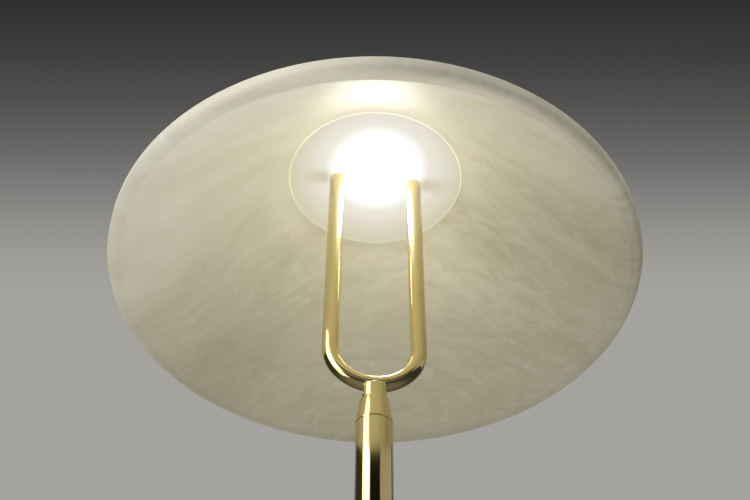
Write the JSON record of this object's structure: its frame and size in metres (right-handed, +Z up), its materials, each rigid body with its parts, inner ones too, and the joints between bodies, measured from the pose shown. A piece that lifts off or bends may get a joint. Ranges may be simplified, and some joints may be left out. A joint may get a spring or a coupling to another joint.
{
  "type": "torchiere floor lamp",
  "caption": "Tall floor lamp: a wide downward-opening stone cone with a flat lit disc, held by a U-shaped tube fork on a slim stem and a round weighted base.",
  "frame": {"origin": "on the floor, under the centre of the round base", "axes": "+Z up the stem; the fork's two prongs stand in the XZ plane; the foot button is on the -Y side and the mains inlet faces +Y"},
  "size_m": [0.528, 0.528, 1.7629],
  "materials": {
    "polished_brass": "mirror polished and lacquered",
    "alabaster": "honed natural stone, faintly translucent",
    "opal_diffuser": "satin opal acrylic",
    "white_enamel": "matt white enamel",
    "zinc_plated_steel": "zinc plated",
    "cast_aluminium": "as machined",
    "painted_cast_iron": "black primer",
    "black_plastic": "fine moulded texture",
    "white_circuit_board": "white solder mask",
    "led_phosphor": "silicone over phosphor",
    "white_silicone": "soft, matt",
    "grey_felt": "pressed wool felt",
    "wire_insulation": "smooth PVC"
  },
  "bodies": {
    "stand": {"base_cover": "polished_brass", "base_pad": "grey_felt", "base_weight": "painted_cast_iron", "bottom_plate": "zinc_plated_steel", "bottom_screw_1": "zinc_plated_steel", "bottom_screw_2": "zinc_plated_steel", "bottom_screw_3": "zinc_plated_steel", "bottom_screw_4": "zinc_plated_steel", "stem_spigot": "zinc_plated_steel", "spigot_screw_1": "zinc_plated_steel", "spigot_screw_2": "zinc_plated_steel", "spigot_screw_3": "zinc_plated_steel", "stem_grub_screw": "zinc_plated_steel", "driver": "black_plastic", "inlet_bush": "black_plastic", "inlet_nut": "black_plastic", "foot_spring": "zinc_plated_steel", "foot_switch": "black_plastic", "switch_lead": "wire_insulation", "stem_lower": "polished_brass", "stem_coupler": "polished_brass", "stem_upper": "polished_brass", "stem_cable": "wire_insulation", "neck": "polished_brass", "fork_saddle": "polished_brass", "fork_nut": "zinc_plated_steel", "fork_stud": "polished_brass", "fork_tube": "polished_brass", "prong_stud_left": "polished_brass", "prong_stud_right": "polished_brass", "prong_sleeve_left": "zinc_plated_steel", "prong_sleeve_right": "zinc_plated_steel", "prong_nut_left": "zinc_plated_steel", "prong_nut_right": "zinc_plated_steel", "prong_lead_left": "wire_insulation", "prong_lead_right": "wire_insulation", "diffuser": "opal_diffuser", "light_tray": "white_enamel", "shade_seat": "white_silicone", "led_board": "white_circuit_board", "led_emitter": "led_phosphor", "led_screw_1": "zinc_plated_steel", "led_screw_2": "zinc_plated_steel", "led_lead": "wire_insulation", "heat_sink": "cast_aluminium", "terminal_block": "white_enamel", "cap_stud": "zinc_plated_steel"},
    "button": {"foot_button": "polished_brass"},
    "shade": {"shade": "alabaster"},
    "cap": {"top_cap": "polished_brass", "finial_washer": "polished_brass", "finial": "polished_brass"}
  },
  "joints": [
    {"name": "foot_press", "type": "slide", "parent": "stand", "child": "button", "axis": [0, 0, -1], "range_m": [0, 0.003], "stiffness_N_per_m": 1500, "springref_m": -0.002, "deforming": ["foot_spring"]},
    {"name": "shade_lift", "type": "slide", "parent": "stand", "child": "shade", "axis": [0, 0, 1], "range_m": [0, 0.24]},
    {"name": "cap_lift", "type": "slide", "parent": "shade", "child": "cap", "axis": [0, 0, 1], "range_m": [0, 0.03]}
  ]
}
